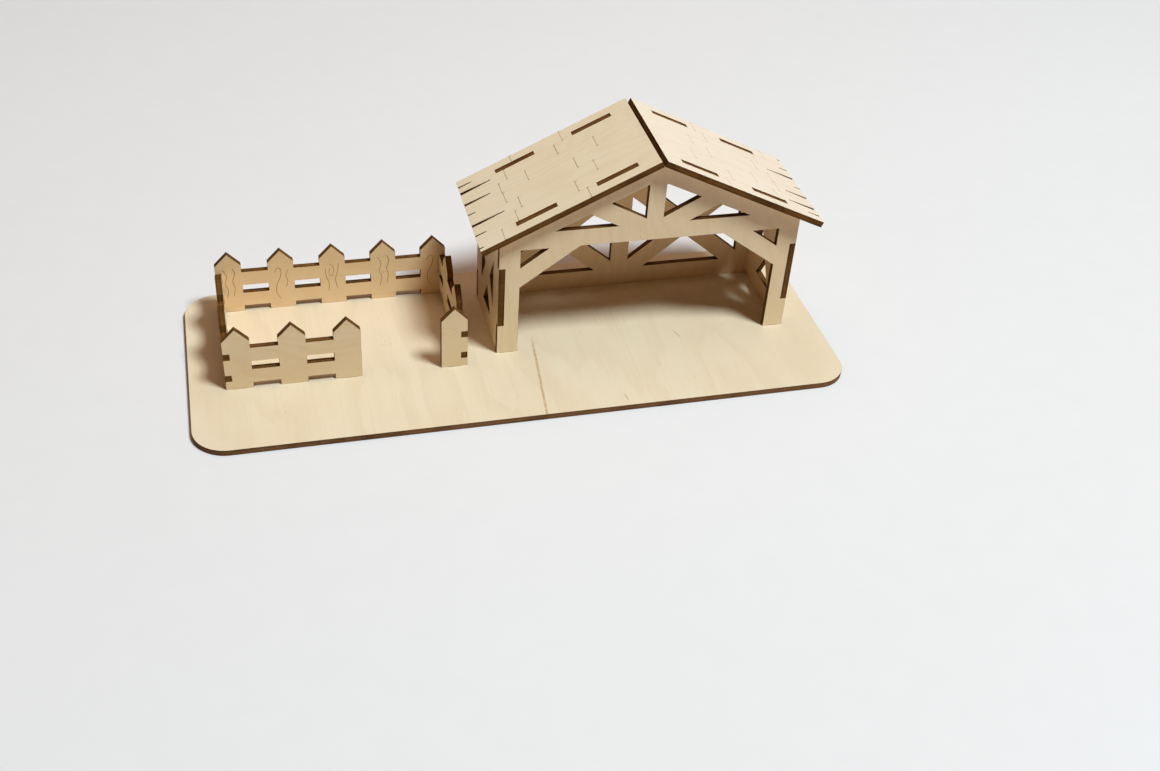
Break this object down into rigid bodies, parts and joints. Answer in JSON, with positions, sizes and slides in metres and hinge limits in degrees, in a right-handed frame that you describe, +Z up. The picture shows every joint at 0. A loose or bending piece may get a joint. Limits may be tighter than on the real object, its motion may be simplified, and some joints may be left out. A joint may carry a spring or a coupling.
{
  "type": "nativity stable",
  "caption": "Slot-together plywood stable with timber-framed gables, crossed braces, a plank-cut gable roof and a fenced paddock, on a rounded base board.",
  "frame": {"origin": "middle of the base board's underside", "axes": "+X along the board from the paddock to the stable, +Y from the portal to the back gable, +Z up"},
  "size_m": [0.3152, 0.123, 0.1071],
  "materials": {
    "plywood": "bare birch plywood with scorched laser-cut edges"
  },
  "bodies": {
    "stable": {"base_board": "plywood", "front_gable": "plywood", "back_gable": "plywood", "left_wall": "plywood", "right_wall": "plywood", "back_fence": "plywood", "front_fence": "plywood", "gate_post": "plywood", "left_fence": "plywood", "right_fence": "plywood"},
    "left_roof": {"left_roof_panel": "plywood"},
    "right_roof": {"right_roof_panel": "plywood"}
  },
  "joints": [
    {"name": "left_roof_lift", "type": "slide", "parent": "stable", "child": "left_roof", "axis": [-0.4337, 0, 0.9011], "range_m": [0, 0.03]},
    {"name": "right_roof_lift", "type": "slide", "parent": "stable", "child": "right_roof", "axis": [0.4337, 0, 0.9011], "range_m": [0, 0.03]}
  ]
}
